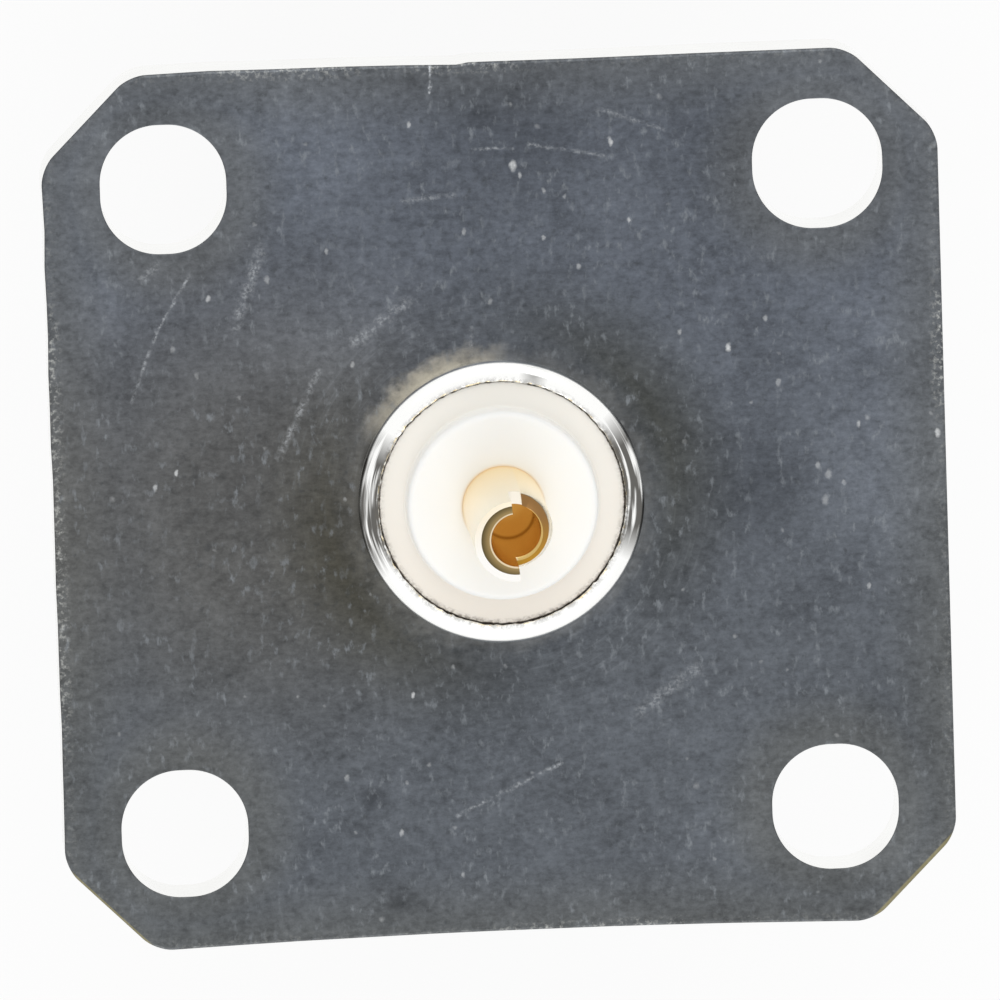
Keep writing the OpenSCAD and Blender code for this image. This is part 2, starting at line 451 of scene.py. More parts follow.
def build_body():
    """Flange, barrel and rolled rim, turned from one bar."""
    below, above = LUG_Z - LUG_R - LUG_RING, LUG_Z + LUG_R + LUG_RING
    outline = (
        [(CAVITY_R + MOUTH_LEAD, MOUTH_Z), (CAVITY_R + MOUTH_RING, MOUTH_Z)]
        + arc(BARREL_R - MOUTH_EDGE, MOUTH_Z + MOUTH_EDGE, MOUTH_EDGE, -90, 0, 8)
        + [(BARREL_R, below), (BARREL_R, above)]
        + arc(BARREL_R + ROOT_FILLET, FRONT_Z - ROOT_FILLET + OVERLAP, ROOT_FILLET, 180, 90, 8)
        + [(BARREL_R + ROOT_FILLET, FRONT_Z / 2), (HUB_R, FRONT_Z / 2)]
        + arc(RIM_CREST_R, RIM_EDGE_Z, HUB_R - RIM_CREST_R, 0, 90, 12, RIM_CROWN)
        + RIM_LIP
        + [
            (BORE_R, SEAT_Z),
            (BORE_R, WEB_Z),
            (WEB_R, WEB_Z),
            (WEB_R, FLOOR_Z),
            (CAVITY_R, FLOOR_Z),
            (CAVITY_R, above),
            (CAVITY_R, below),
            (CAVITY_R, MOUTH_Z + MOUTH_LEAD),
            (CAVITY_R + MOUTH_LEAD, MOUTH_Z),
        ]
    )
    barrel = turned("jack_body", outline, TURN_STEPS)
    fray(barrel)
    combine(barrel, build_flange(), "UNION")
    start, end = LUG_DRILL
    for side in (-1, 1):
        drill = rod(LUG_R + LUG_GAP, (side * start, 0, LUG_Z), (side * end, 0, LUG_Z))
        combine(barrel, drill, "DIFFERENCE")
    smooth(barrel)
    return barrel


def build_lug(name, side):
    """Round bayonet lug, pressed into the barrel, with a bevelled and slightly domed end."""
    outline = (
        [(0, CAVITY_R), (LUG_R, CAVITY_R)]
        + arc(LUG_R - LUG_EDGE, LUG_TIP - LUG_EDGE - LUG_DOME, LUG_EDGE, 0, 70, 4)
        + [(LUG_R / 2, LUG_TIP - LUG_DOME_HALFWAY), (0, LUG_TIP)]
    )
    lug = turned(name, outline, SMALL_STEPS)
    lug.rotation_euler.y = side * math.pi / 2
    lug.location.z = LUG_Z * MM
    alone(lug)
    bpy.ops.object.transform_apply(location=True, rotation=True, scale=True)
    smooth(lug)
    return lug


def build_front_insulator():
    """Insulator whose nose stands in the plug cavity."""
    hole_r = SOCKET_R + INSULATOR_GAP
    collar_hole_r = COLLAR_R + INSULATOR_GAP
    outline = (
        [(hole_r, COLLAR_Z), (hole_r, NOSE_Z + NOSE_HOLE_EDGE), (hole_r + NOSE_HOLE_EDGE, NOSE_Z)]
        + arc(NOSE_R - NOSE_EDGE, NOSE_Z + NOSE_EDGE, NOSE_EDGE, -90, 0)
        + [
            (NOSE_R, WEB_Z),
            (INSULATOR_R, WEB_Z),
            (INSULATOR_R, SPLIT_Z),
            (collar_hole_r, SPLIT_Z),
            (collar_hole_r, COLLAR_Z),
            (hole_r, COLLAR_Z),
        ]
    )
    piece = turned("front_ptfe", outline, SMALL_STEPS)
    smooth(piece)
    return piece


def build_rear_insulator():
    """Insulator under the rolled rim, with the raised boss round the solder cup."""
    hole_r = CUP_R + CUP_HOLE_GAP
    outline = (
        [(hole_r, SPLIT_Z), (INSULATOR_R, SPLIT_Z)]
        + [(r, SEAT_Z - depth) for r, depth in PRESSED_EDGE]
        + [(BOSS_R + out, SEAT_Z + rise) for out, rise in BOSS_FOOT]
        + arc(BOSS_R - BOSS_EDGE, BOSS_Z - BOSS_EDGE, BOSS_EDGE, 0, 90)
        + [(hole_r, BOSS_Z), (hole_r, SPLIT_Z)]
    )
    piece = turned("rear_ptfe", outline, TURN_STEPS)
    smooth(piece)
    return piece


def off_centre(outline, centre):
    """Turned cutter whose axis lies a little to one side of the contact's."""
    cutter = turned("off_centre_cutter", outline, SMALL_STEPS)
    cutter.location.xy = Vector(centre) * MM
    alone(cutter)
    bpy.ops.object.transform_apply(location=True, rotation=True, scale=True)
    return cutter


def lip_bevel(radius, height, centre, slope):
    """Cutter that bevels a lip outside a circle."""
    inner, outer = radius - LIP_CUTTER_IN, CUP_R + LIP_CUTTER_OUT
    outline = [
        (inner, height + (radius - inner) * slope),
        (outer, height + (radius - outer) * slope),
        (outer, height + OVER),
        (inner, height + OVER),
    ]
    return off_centre(outline + outline[:1], centre)


def lip_dish(radius, height, centre, slope):
    """Cutter that slopes a lip down into the bore inside a circle."""
    top = height + OVER
    outline = [(0, height - radius * slope), (radius, height), (radius, top), (0, top)]
    return off_centre(outline, centre)


def build_contact():
    """Slotted socket, collar and stepped solder cup, turned from one bar."""
    outline = (
        [(0, SOCKET_END_Z - SOCKET_CONE), (SOCKET_BORE_R, SOCKET_END_Z)]
        + [(SOCKET_BORE_R, SOCKET_Z + SOCKET_LEAD), (SOCKET_BORE_R + SOCKET_LEAD, SOCKET_Z)]
        + arc(SOCKET_R - SOCKET_EDGE, SOCKET_Z + SOCKET_EDGE, SOCKET_EDGE, -90, 0, 8)
        + [(SOCKET_R, COLLAR_Z), (COLLAR_R, COLLAR_Z), (COLLAR_R, SPLIT_Z), (CUP_R, SPLIT_Z)]
        + [(CUP_R, TALL_Z), (0, TALL_Z)]
    )
    contact = turned("solder_contact", outline, SMALL_STEPS)
    bore = [
        (0, CUP_FLOOR_Z),
        (CUP_BORE_R, CUP_FLOOR_Z),
        (CUP_BORE_R, TALL_Z - LIP_INNER),
        (CUP_BORE_R + 2 * LIP_INNER, TALL_Z + LIP_INNER),
        (0, TALL_Z + LIP_INNER),
    ]
    combine(contact, off_centre(bore, BORE_CENTRE), "DIFFERENCE")
    tall_bevel = lip_bevel(TALL_LIP_R, TALL_Z, TALL_LIP_CENTRE, TALL_LIP_SLOPE)
    combine(contact, tall_bevel, "DIFFERENCE")
    outside, top = CUP_R + OVER, TALL_Z + OVER
    shave = [(0, SHORT_Z), (outside, SHORT_Z), (outside, top), (0, top)]
    cutter = turned("cut_down_side", shave, SMALL_STEPS)
    short_bevel = lip_bevel(SHORT_LIP_R, SHORT_Z, SHORT_LIP_CENTRE, SHORT_LIP_SLOPE)
    combine(cutter, short_bevel, "UNION")
    combine(cutter, lip_dish(DISH_R, SHORT_Z, DISH_CENTRE, DISH_SLOPE), "UNION")
    right_side = block((0, -CUT_REACH, 0), (CUT_REACH, CUT_REACH, TALL_Z + 2 * OVER), CUT_TURN)
    combine(cutter, right_side, "INTERSECT")
    combine(contact, cutter, "DIFFERENCE")
    slit_low = (-SKIN, SLIT_START, SHORT_Z - SLIT_DEPTH)
    slit_high = (SLIT_W, SLIT_END, SHORT_Z + SLIT_TOP)
    combine(contact, block(slit_low, slit_high, CUT_TURN), "DIFFERENCE")
    reach = SOCKET_R + OVER
    saw_low = (-reach, -SLOT_W / 2, SOCKET_Z - OVER)
    saw_high = (reach, SLOT_W / 2, SOCKET_Z + SLOT_LEN)
    for turn in (45, 135):
        combine(contact, block(saw_low, saw_high, turn), "DIFFERENCE")
    smooth(contact)
    return contact


def linear(hex_colour):
    """Linear colour of an sRGB hex value."""
    parts = [int(hex_colour[i : i + 2], 16) / 255 for i in (1, 3, 5)]
    return (*[p / 12.92 if p <= 0.04045 else ((p + 0.055) / 1.055) ** 2.4 for p in parts], 1)


def add(tree, kind, *inputs, sockets=None, **settings):
    """Adds a node; inputs fill its open sockets in turn, by value or by a link to a node."""
    node = tree.nodes.new("ShaderNode" + kind)
    for name, value in settings.items():
        setattr(node, name, value)
    pairs = list(zip([s for s in node.inputs if s.enabled], inputs))
    pairs += [(node.inputs[name], value) for name, value in (sockets or {}).items()]
    for socket, value in pairs:
        if isinstance(value, bpy.types.Node):
            value = next(s for s in value.outputs if s.enabled)
        if isinstance(value, bpy.types.NodeSocket):
            tree.links.new(value, socket)
        else:
            socket.default_value = value
    return node


def new_material(name):
    """Empty material, the function that adds its nodes, and its Object coordinates in millimetres."""
    material = bpy.data.materials.new(name)
    material.use_nodes = True
    material.node_tree.nodes.clear()
    node = partial(add, material.node_tree)
    point = node("VectorMath", node("TexCoord").outputs["Object"], 1 / MM, operation="SCALE")
    return material, node, point


# Cloudy patches on the flange: place, reach in millimetres, and how much lighter
PATCHES = [
    (7.4, 0.2, 2.6, 0.32),
    (7.4, 3.5, 2.4, 0.2),
    (-3.9, 7.4, 2.8, 0.2),
    (0.3, 7.4, 2.4, -0.24),
    (3.6, 7.4, 2.2, -0.12),
    (5.2, 0.0, 1.9, -0.27),
    (-5.0, 0.2, 1.8, -0.16),
    (-7.7, 4.2, 2.2, 0.14),
    (-3.0, 3.3, 1.6, 0.24),
    (-4.1, -3.5, 2.0, -0.05),
    (0.0, -3.5, 1.4, -0.2),
    (4.4, -6.4, 2.4, 0.12),
    (3.1, -1.8, 1.2, -0.16),
    (2.4, 2.6, 1.3, 0.1),
    (-2.5, -2.7, 1.3, 0.08),
    (-2.69, -5.82, 0.35, -0.4),
    (-2.17, -7.88, 0.35, -0.4),
    (-7.7, 7.3, 1.5, 0.16),
    (7.6, 7.5, 1.5, 0.14),
    (7.7, -7.3, 1.6, 0.26),
    (-7.6, -7.2, 1.5, 0.08),
]
# Single scratches: both ends, width and strength
SCRATCHES = [
    (-5.90, 4.64, -6.54, 3.61, 0.02, 0.6),
    (-6.54, 3.61, -6.86, 2.84, 0.025, 0.5),
    (-6.86, 2.84, -7.11, 2.19, 0.025, 0.25),
    (-3.46, 2.66, -4.29, 0.99, 0.05, 0.45),
    (-4.49, 5.10, -5.05, 3.61, 0.08, 0.4),
    (-6.81, 4.58, -6.54, 4.89, 0.06, 0.4),
    (-1.72, 5.94, -0.71, 6.02, 0.04, 0.3),
    (-0.35, 6.90, 0.45, 6.88, 0.02, 0.45),
    (0.75, 6.95, 2.2, 6.68, 0.025, 0.35),
    (2.15, 7.59, 3.4, 7.13, 0.03, 0.35),
    (-1.03, -6.21, 1.01, -5.27, 0.03, 0.45),
    (-2.75, 3.2, -1.7, 3.95, 0.08, 0.45),
    (2.6, -4.3, 3.7, -3.5, 0.1, 0.32),
    (-0.5, 2.85, -0.46, 3.4, 0.03, 0.3),
    (-1.10, 8.6, -1.12, 8.05, 0.02, 1.0),
]
# White specks: place, radius and strength
SPECKS = [
    (0.44, 6.54, 0.088, 0.95),
    (0.57, 6.35, 0.048, 0.45),
    (2.34, 6.95, 0.064, 0.85),
    (2.66, 5.38, 0.048, 0.6),
    (1.03, 6.04, 0.048, 0.45),
    (1.43, 5.9, 0.04, 0.38),
    (-1.56, 7.43, 0.048, 0.52),
    (-0.55, 5.28, 0.056, 0.38),
    (0.98, 5.11, 0.048, 0.52),
    (1.66, 4.51, 0.048, 0.45),
    (-0.09, 3.89, 0.056, 0.45),
    (-3.23, 5.01, 0.048, 0.45),
    (-4.4, 4.49, 0.064, 0.45),
    (-5.55, 4.18, 0.056, 0.6),
    (-5.83, 2.67, 0.056, 0.3),
    (-6.28, 3.21, 0.056, 0.3),
    (-2.79, 2.76, 0.056, 0.45),
    (-6.28, 0.78, 0.048, 0.85),
    (-6.7, 0.5, 0.048, 0.6),
    (4.51, 2.81, 0.064, 0.85),
    (5.25, 3.36, 0.056, 0.45),
    (3.57, 3.15, 0.048, 0.45),
    (5.48, 2.08, 0.064, 0.45),
    (7.01, 1.19, 0.056, 0.52),
    (6.4, 0.23, 0.08, 0.38),
    (6.19, 0.42, 0.056, 0.38),
    (6.32, -0.28, 0.08, 0.3),
    (6.7, 0.06, 0.048, 0.38),
    (7.12, -2.01, 0.056, 0.6),
    (8.55, 0.95, 0.072, 0.95),
    (-1.83, -3.79, 0.048, 0.85),
    (-2.13, -6.52, 0.056, 0.52),
    (-3.16, -5.39, 0.056, 0.38),
    (-0.95, -7.4, 0.048, 0.45),
]
# Stretches of the flange's edge that have worn pale: place and reach
WORN = [
    (-8.7, 2.2, 2.4),
    (-8.7, -1.8, 3.6),
    (-3.8, 8.4, 1.8),
    (-0.4, 8.4, 1.4),
    (1.4, -8.5, 2.4),
    (8.6, 2.6, 1.6),
]


def tinted(node, colour, share, tint):
    """Multiplies a colour by a tint, as far as its share goes."""
    tint = node("Mix", share, (1, 1, 1, 1), tint, data_type="RGBA")
    return node("VectorMath", colour, tint, operation="MULTIPLY")


def from_edges(node, apart):
    """Distances of a place on the flange from its nearest edge, and from its nearest corner cut."""
    sides = node("SeparateXYZ", apart).outputs
    from_x = node("Math", FLANGE_W / 2, sides["X"], operation="SUBTRACT")
    from_y = node("Math", FLANGE_H / 2, sides["Y"], operation="SUBTRACT")
    cut = (FLANGE_W + FLANGE_H) / 2 - CORNER_CUT
    from_cut = node("VectorMath", apart, (1, 1, 0), operation="DOT_PRODUCT")
    from_cut = node("Math", cut, from_cut, operation="SUBTRACT")
    edge = node("Math", from_x, from_y, operation="MINIMUM")
    edge = node("Math", edge, from_cut, operation="MINIMUM")
    return edge, from_cut


def uneven_tint(node, colour, flat, apart, edge):
    """Tints of the dulled plating, which change over several millimetres."""
    # Neutral grey near the edges and round the holes, blue-grey in between
    rim = node("MapRange", edge, 1.6, 0, 0, 1, interpolation_type="SMOOTHSTEP")
    hole = (HOLE_PITCH / 2, HOLE_PITCH / 2, 0)
    by_hole = node("VectorMath", apart, hole, operation="DISTANCE")
    by_hole = node("MapRange", by_hole, 2.6, 1.4, 0, 1, interpolation_type="SMOOTHSTEP")
    bare = node("Math", rim, by_hole, operation="MAXIMUM")
    colour = tinted(node, colour, bare, (1.06, 1.02, 0.93, 1))

    # Colder above, warmer on the left
    upper = node("MapRange", node("SeparateXYZ", flat).outputs["Y"], -3, 4, 0, 1)
    colour = tinted(node, colour, upper, (1.03, 1.045, 1.1, 1))
    left = node("VectorMath", flat, (-4.8, 0, 0), operation="DISTANCE")
    left = node("MapRange", left, 6.5, 1, 0, 1, interpolation_type="SMOOTHSTEP")
    colour = tinted(node, colour, left, (1.02, 0.93, 0.8, 1))

    # Lighter and darker patches
    level = 1.0
    for x, y, reach, gain in PATCHES:
        away = node("VectorMath", flat, (x, y, 0), operation="DISTANCE")
        lift = node("MapRange", away, 0, reach, gain, 0, interpolation_type="SMOOTHSTEP")
        level = node("Math", lift, level, operation="ADD")
    return node("VectorMath", colour, level, operation="SCALE")


def hub_marks_and_painted_light(node, colour, flat, mottle):
    """Turning marks with a painted sheen, painted olive-brown shade, and a painted highlight round the
    hub.
    """
    radius = node("VectorMath", flat, operation="LENGTH")
    heading = node("VectorMath", flat, operation="NORMALIZE")

    # Turning marks 0.1 mm wide, lightened by a painted sheen at the upper left and lower right
    slanted = node("VectorMath", heading, (-0.7071, 0.7071, 0), operation="DOT_PRODUCT")
    slanted = node("Math", slanted, 2, operation="POWER")
    rings = node("TexNoise", radius, 9, 3, 0.7, noise_dimensions="1D")
    rings = node("MapRange", rings, 0.5, 0.75, 0, 1)
    band = node("MapRange", radius, 4.8, 3.6, 0, 0.35, interpolation_type="SMOOTHSTEP")
    marks_and_sheen = node("MapRange", mottle, 0.4, 0.65, 0, 1)
    for share in (rings, band, slanted):
        marks_and_sheen = node("Math", marks_and_sheen, share, operation="MULTIPLY")
    colour = node("Mix", marks_and_sheen, colour, linear("#8d9299"), data_type="RGBA")

    # Painted shade of the hub, olive-brown, that spreads from it, least along one diagonal
    least_shaded = node("VectorMath", heading, (-0.42, 0.907, 0), operation="DOT_PRODUCT")
    least_shaded = node("Math", least_shaded, 2, operation="POWER")
    share = node("Math", least_shaded, -0.8, 0.9, operation="MULTIPLY_ADD")
    hub_shade = node("MapRange", radius, 5.1, 3.1, 0, 1, interpolation_type="SMOOTHSTEP")
    hub_shade = node("Math", hub_shade, share, operation="MULTIPLY")
    less_at_root = node("MapRange", radius, 2.8, 3.4, 0.4, 1)
    hub_shade = node("Math", hub_shade, less_at_root, operation="MULTIPLY")
    colour = tinted(node, colour, hub_shade, (0.55, 0.51, 0.38, 1))

    # Painted highlight: a pale band at the hub's root, most at the upper left
    near = node("Math", mottle, -0.6, radius, operation="MULTIPLY_ADD")
    near = node("MapRange", near, 2.88, 2.42, 0, 1, interpolation_type="SMOOTHSTEP")
    root_highlight = node("VectorMath", heading, (-0.5, 0.866, 0), operation="DOT_PRODUCT")
    root_highlight = node("MapRange", root_highlight, 0.82, 1, 0.08, 0.85)
    root_highlight = node("Math", root_highlight, near, operation="MULTIPLY")
    return node("Mix", root_highlight, colour, linear("#c2bbaa"), data_type="RGBA")


def handling_marks(node, colour, flat):
    """Flecks, scratches and dust on the flange."""
    # Soft flecks and pits of 0.15 to 0.3 mm in clusters
    cluster = node("TexNoise", flat, 0.9, 2, 0.5)
    for scale, low, gathered, finish in (
        ((6.5, 3.4, 1), 0.53, (0.36, 0.62, 0.1, 0.6), "#8a8f94"),
        ((5.5, 5.0, 2), 0.54, (0.62, 0.4, 0.1, 0.5), "#3b3e40"),
    ):
        fleck = node("VectorMath", flat, scale, operation="MULTIPLY")
        fleck = node("TexNoise", fleck, 1, 3, 0.6)
        fleck = node("MapRange", fleck, low, low + 0.22, 0, 1, interpolation_type="SMOOTHSTEP")
        fleck = node("Math", fleck, node("MapRange", cluster, *gathered), operation="MULTIPLY")
        colour = node("Mix", fleck, colour, linear(finish), data_type="RGBA")

    # Single broken scratches of handling
    wobble = node("TexNoise", flat, 6, 3, 0.6).outputs["Color"]
    wobble = node("VectorMath", wobble, (0.5, 0.5, 0.5), operation="SUBTRACT")
    wobble = node("VectorMath", wobble, (0.12, 0.12, 0), operation="MULTIPLY")
    ragged = node("VectorMath", flat, wobble, operation="ADD")
    broken = node("MapRange", node("TexNoise", flat, 5, 3, 0.65), 0.38, 0.6, 0.1, 1)
    chipped = node("MapRange", node("TexNoise", flat, 15, 2, 0.6), 0.4, 0.58, 0.15, 1)
    pale = 0.0
    for start_x, start_y, end_x, end_y, width, strength in SCRATCHES:
        along = Vector((end_x - start_x, end_y - start_y, 0))
        reach = along / along.length_squared
        from_end = node("VectorMath", ragged, (start_x, start_y, 0), operation="SUBTRACT")
        part = node("VectorMath", from_end, reach, operation="DOT_PRODUCT")
        part = node("Math", part, 0, operation="ADD", use_clamp=True)
        on_line = node("VectorMath", along, part, operation="SCALE")
        away = node("VectorMath", from_end, on_line, operation="DISTANCE")
        line = node("MapRange", away, 0, width * 2, strength, 0)
        line = node("Math", line, broken, operation="MULTIPLY")
        pale = node("Math", line, pale, operation="MAXIMUM")
    pale = node("Math", pale, chipped, operation="MULTIPLY")
    colour = node("Mix", pale, colour, linear("#c4c8cc"), data_type="RGBA")

    # Dust: a speck in some cells of 0.5 and 1.2 mm, and larger ones that are taller than wide
    dust = 0.0
    for scale, size, rare in ((2.0, 0.1, 0.76), (0.8, 0.06, 0.6)):
        cell = node("TexVoronoi", ragged, scale)
        dot = node("MapRange", cell.outputs["Distance"], size * 0.2, size, 0.32, 0)
        some = node("SeparateColor", cell.outputs["Color"])
        some = node("Math", some.outputs[0], rare, operation="GREATER_THAN")
        dot = node("Math", dot, some, operation="MULTIPLY")
        dust = node("Math", dot, dust, operation="MAXIMUM")
    width_to_height = 0.65
    tall = node("VectorMath", ragged, (1, width_to_height, 1), operation="MULTIPLY")
    for x, y, size, strength in SPECKS:
        away = node("VectorMath", tall, (x, width_to_height * y, 0), operation="DISTANCE")
        dot = node("MapRange", away, size * 0.4, size, strength, 0)
        dust = node("Math", dot, dust, operation="MAXIMUM")
    dust = node("Math", dust, node("MapRange", broken, 0, 1, 0.5, 1), operation="MULTIPLY")
    return node("Mix", dust, colour, linear("#cfd1d2"), data_type="RGBA")


def edge_wear(node, colour, flat, edge, from_cut):
    """Worn flecks of 0.1 mm along the edges, and brass where the lower cuts have lost their plating."""
    strip = node("MapRange", edge, 0.3, 0.02, 0, 1)
    stretch = 0.25
    for x, y, reach in WORN:
        away = node("VectorMath", flat, (x, y, 0), operation="DISTANCE")
        away = node("MapRange", away, reach, reach / 2, 0, 1)
        stretch = node("Math", away, stretch, operation="MAXIMUM")
    speckle = node("TexNoise", flat, 9, 4, 0.7)
    speckle = node("MapRange", speckle, 0.5, 0.66, 0, 0.8)
    worn = node("Math", strip, speckle, operation="MULTIPLY")
    worn = node("Math", worn, stretch, operation="MULTIPLY")
    colour = node("Mix", worn, colour, linear("#c6c7c3"), data_type="RGBA")
    brass = node("MapRange", from_cut, 0.08, 0.04, 0, 1)
    lower = node("MapRange", node("SeparateXYZ", flat).outputs["Y"], -5, -6.6, 0, 0.65)
    brass = node("Math", brass, lower, operation="MULTIPLY")
    return node("Mix", brass, colour, linear("#9a9168"), data_type="RGBA")


def dull_nickel():
    """Nickel plating gone dull: blue-grey and cloudy, scuffed and dusty, with painted sheen, shade and
    highlight round the hub.
    """
    material, node, point = new_material("nickel_plating_dulled")
    flat = node("VectorMath", point, (1, 1, 0), operation="MULTIPLY")
    apart = node("VectorMath", flat, operation="ABSOLUTE")
    edge, from_cut = from_edges(node, apart)

    # Clouds of 2 mm, mottles of 0.4 mm and a grain of 0.15 mm drawn out along X
    clouds = node("TexNoise", flat, 0.55, 4, 0.55)
    mottle = node("TexNoise", flat, 2.6, 4, 0.6)
    drawn = node("VectorMath", flat, (6, 8.5, 1), operation="MULTIPLY")
    grain = node("TexNoise", drawn, 1, 4, 0.7)
    tone = node("Math", clouds, 0.7, -0.8, operation="MULTIPLY_ADD")
    tone = node("Math", mottle, 0.7, tone, operation="MULTIPLY_ADD")
    tone = node("Math", grain, 1.2, tone, operation="MULTIPLY_ADD")
    colour = node("Mix", tone, linear("#3f4246"), linear("#6d7279"), data_type="RGBA")

    colour = uneven_tint(node, colour, flat, apart, edge)
    colour = hub_marks_and_painted_light(node, colour, flat, mottle)
    colour = handling_marks(node, colour, flat)
    colour = edge_wear(node, colour, flat, edge, from_cut)

    height = node("Math", grain, mottle, operation="ADD")
    bump = node("Bump", 0.25, 0.004 * MM, sockets={"Height": height})
    gloss = node("MapRange", mottle, 0.3, 0.7, 0.52, 0.38)
    shader = node(
        "BsdfPrincipled",
        sockets={"Base Color": colour, "Metallic": 1, "Roughness": gloss, "Normal": bump},
    )
    node("OutputMaterial", shader)
    return material


def burnished_nickel():
    """Nickel plating the rolling tool has burnished: near white, with a painted reflection of dark
    surroundings as streaks left and right.
    """
    material, node, point = new_material("nickel_plating_burnished")
    flat = node("VectorMath", point, (1, 1, 0), operation="MULTIPLY")
    radius = node("VectorMath", flat, operation="LENGTH")
    heading = node("VectorMath", flat, operation="NORMALIZE")
    height = node("SeparateXYZ", point).outputs["Z"]
    # Streaks that run round the axis, a tenth of a millimetre wide, dark to the left and right and in a
    # small smudge above; to the left and right they are a painted reflection of dark surroundings
    across = node("Math", height, 0.6, radius, operation="MULTIPLY_ADD")
    lift = node("CombineXYZ", 0, 0, node("Math", across, 14, operation="MULTIPLY"))
    around = node("VectorMath", heading, (1.5, 1.5, 0), lift, operation="MULTIPLY_ADD")
    streak = node("TexNoise", around, 1, 2, 0.6)
    dark = node("MapRange", streak, 0.36, 0.47, 0, 0.95)
    sideways = 0.0
    for towards in ((0.995, 0.1, 0), (-0.999, 0.03, 0)):
        lobe = node("VectorMath", heading, towards, operation="DOT_PRODUCT")
        lobe = node("MapRange", lobe, 0.84, 0.95, 0, 1)
        sideways = node("Math", lobe, sideways, operation="MAXIMUM")
    smudge = node("VectorMath", flat, (0.7, 2.5, 0), operation="DISTANCE")
    smudge = node("MapRange", smudge, 0.05, 0.3, 0.6, 0)
    streaked = node("Math", sideways, smudge, operation="MAXIMUM")
    dark = node("Math", dark, streaked, operation="MULTIPLY")
    colour = node("Mix", dark, linear("#fdfdfb"), linear("#55534f"), data_type="RGBA")
    # Grey along the inner edge, in shreds of 0.1 mm, less above and below: torn metal, and painted
    # shade on the rim's inner lip
    torn_and_shaded = node("MapRange", node("TexNoise", point, 10, 3, 0.7), 0.42, 0.58, 0, 0.85)
    inner = node("MapRange", radius, 2.51, 2.43, 0, 1)
    for share in (inner, node("MapRange", sideways, 0, 1, 0.45, 1)):
        torn_and_shaded = node("Math", torn_and_shaded, share, operation="MULTIPLY")
    colour = node("Mix", torn_and_shaded, colour, linear("#6b6760"), data_type="RGBA")
    shader = node(
        "BsdfPrincipled", sockets={"Base Color": colour, "Metallic": 1, "Roughness": 0.2}
    )
    node("OutputMaterial", shader)
    return material


def bright_nickel(name, dim, finish, gloss):
    """Nickel plating that has kept its shine: silvery, with fine rings from the lathe."""
    material, node, point = new_material(name)
    # Rings 0.07 mm apart, and clouds of 1.5 mm
    height = node("SeparateXYZ", point).outputs["Z"]
    rings = node("TexNoise", height, 14, 3, 0.65, noise_dimensions="1D")
    cloud = node("TexNoise", point, 0.7, 4, 0.6)
    cloud = node("Math", rings, cloud, operation="MULTIPLY")
    cloud = node("MapRange", cloud, 0.1, 0.45, 0, 1)
    colour = node("Mix", cloud, linear(dim), linear(finish), data_type="RGBA")
    bump = node("Bump", 0.15, 0.003 * MM, sockets={"Height": rings})
    shader = node(
        "BsdfPrincipled",
        sockets={"Base Color": colour, "Metallic": 1, "Roughness": gloss, "Normal": bump},
    )
    node("OutputMaterial", shader)
    return material


def turned_ptfe():
    """PTFE turned on a lathe: white and waxy, with faint rings, grime and a painted shadow along the
    rolled rim, painted shade on the shoulder and a painted reflection of the gold.
    """
    material, node, point = new_material("turned_ptfe")
    flat = node("VectorMath", point, (1, 1, 0), operation="MULTIPLY")
    radius = node("VectorMath", flat, operation="LENGTH")
    # White boss, and a shoulder painted a little darker and warmer as shade under the rim, more so
    # towards the bottom
    low = node("MapRange", node("SeparateXYZ", flat).outputs["Y"], 2, -2.4, 0, 1)
    step = node("MapRange", radius, BOSS_R - 0.02, BOSS_R + 0.05, 0, 1)
    shoulder = node("Mix", low, linear("#f2efe8"), linear("#f0e9df"), data_type="RGBA")
    colour = node("Mix", step, linear("#fafaf7"), shoulder, data_type="RGBA")
    # Painted reflection of the gold: an amber tint on the edge of the hole
    glow = node("MapRange", radius, CUP_R + 0.05, CUP_R, 0, 0.5)
    colour = node("Mix", glow, colour, linear("#f6d09a"), data_type="RGBA")
    # Smears of 0.1 mm towards the rim, most in the lower half, and a dark line under it of grime and
    # painted shadow
    smear = node("TexNoise", flat, 10, 3, 0.65)
    smear = node("MapRange", smear, 0.42, 0.6, 0, 0.85)
    pressed = node("MapRange", radius, 2.27, 2.36, 0, 1)
    for share in (pressed, low):
        smear = node("Math", smear, share, operation="MULTIPLY")
    colour = node("Mix", smear, colour, linear("#8d867e"), data_type="RGBA")
    edge = node("TexNoise", flat, 8, 3, 0.6)
    edge = node("Math", edge, 0.08, radius, operation="MULTIPLY_ADD")
    grime_and_shadow = node("MapRange", edge, 2.405, 2.425, 0, 0.9)
    colour = node("Mix", grime_and_shadow, colour, linear("#4d4236"), data_type="RGBA")
    # Rings 0.08 mm apart
    rings = node("TexNoise", radius, 12, 2, 0.6, noise_dimensions="1D")
    bump = node("Bump", 0.15, 0.004 * MM, sockets={"Height": rings})
    shader = node(
        "BsdfPrincipled",
        sockets={
            "Base Color": colour,
            "Roughness": 0.45,
            "IOR": 1.35,
            "Subsurface Weight": 0.2,
            "Subsurface Radius": (1.0, 0.9, 0.8),
            "Subsurface Scale": 0.3 * MM,
            "Normal": bump,
        },
    )
    node("OutputMaterial", shader)
    return material


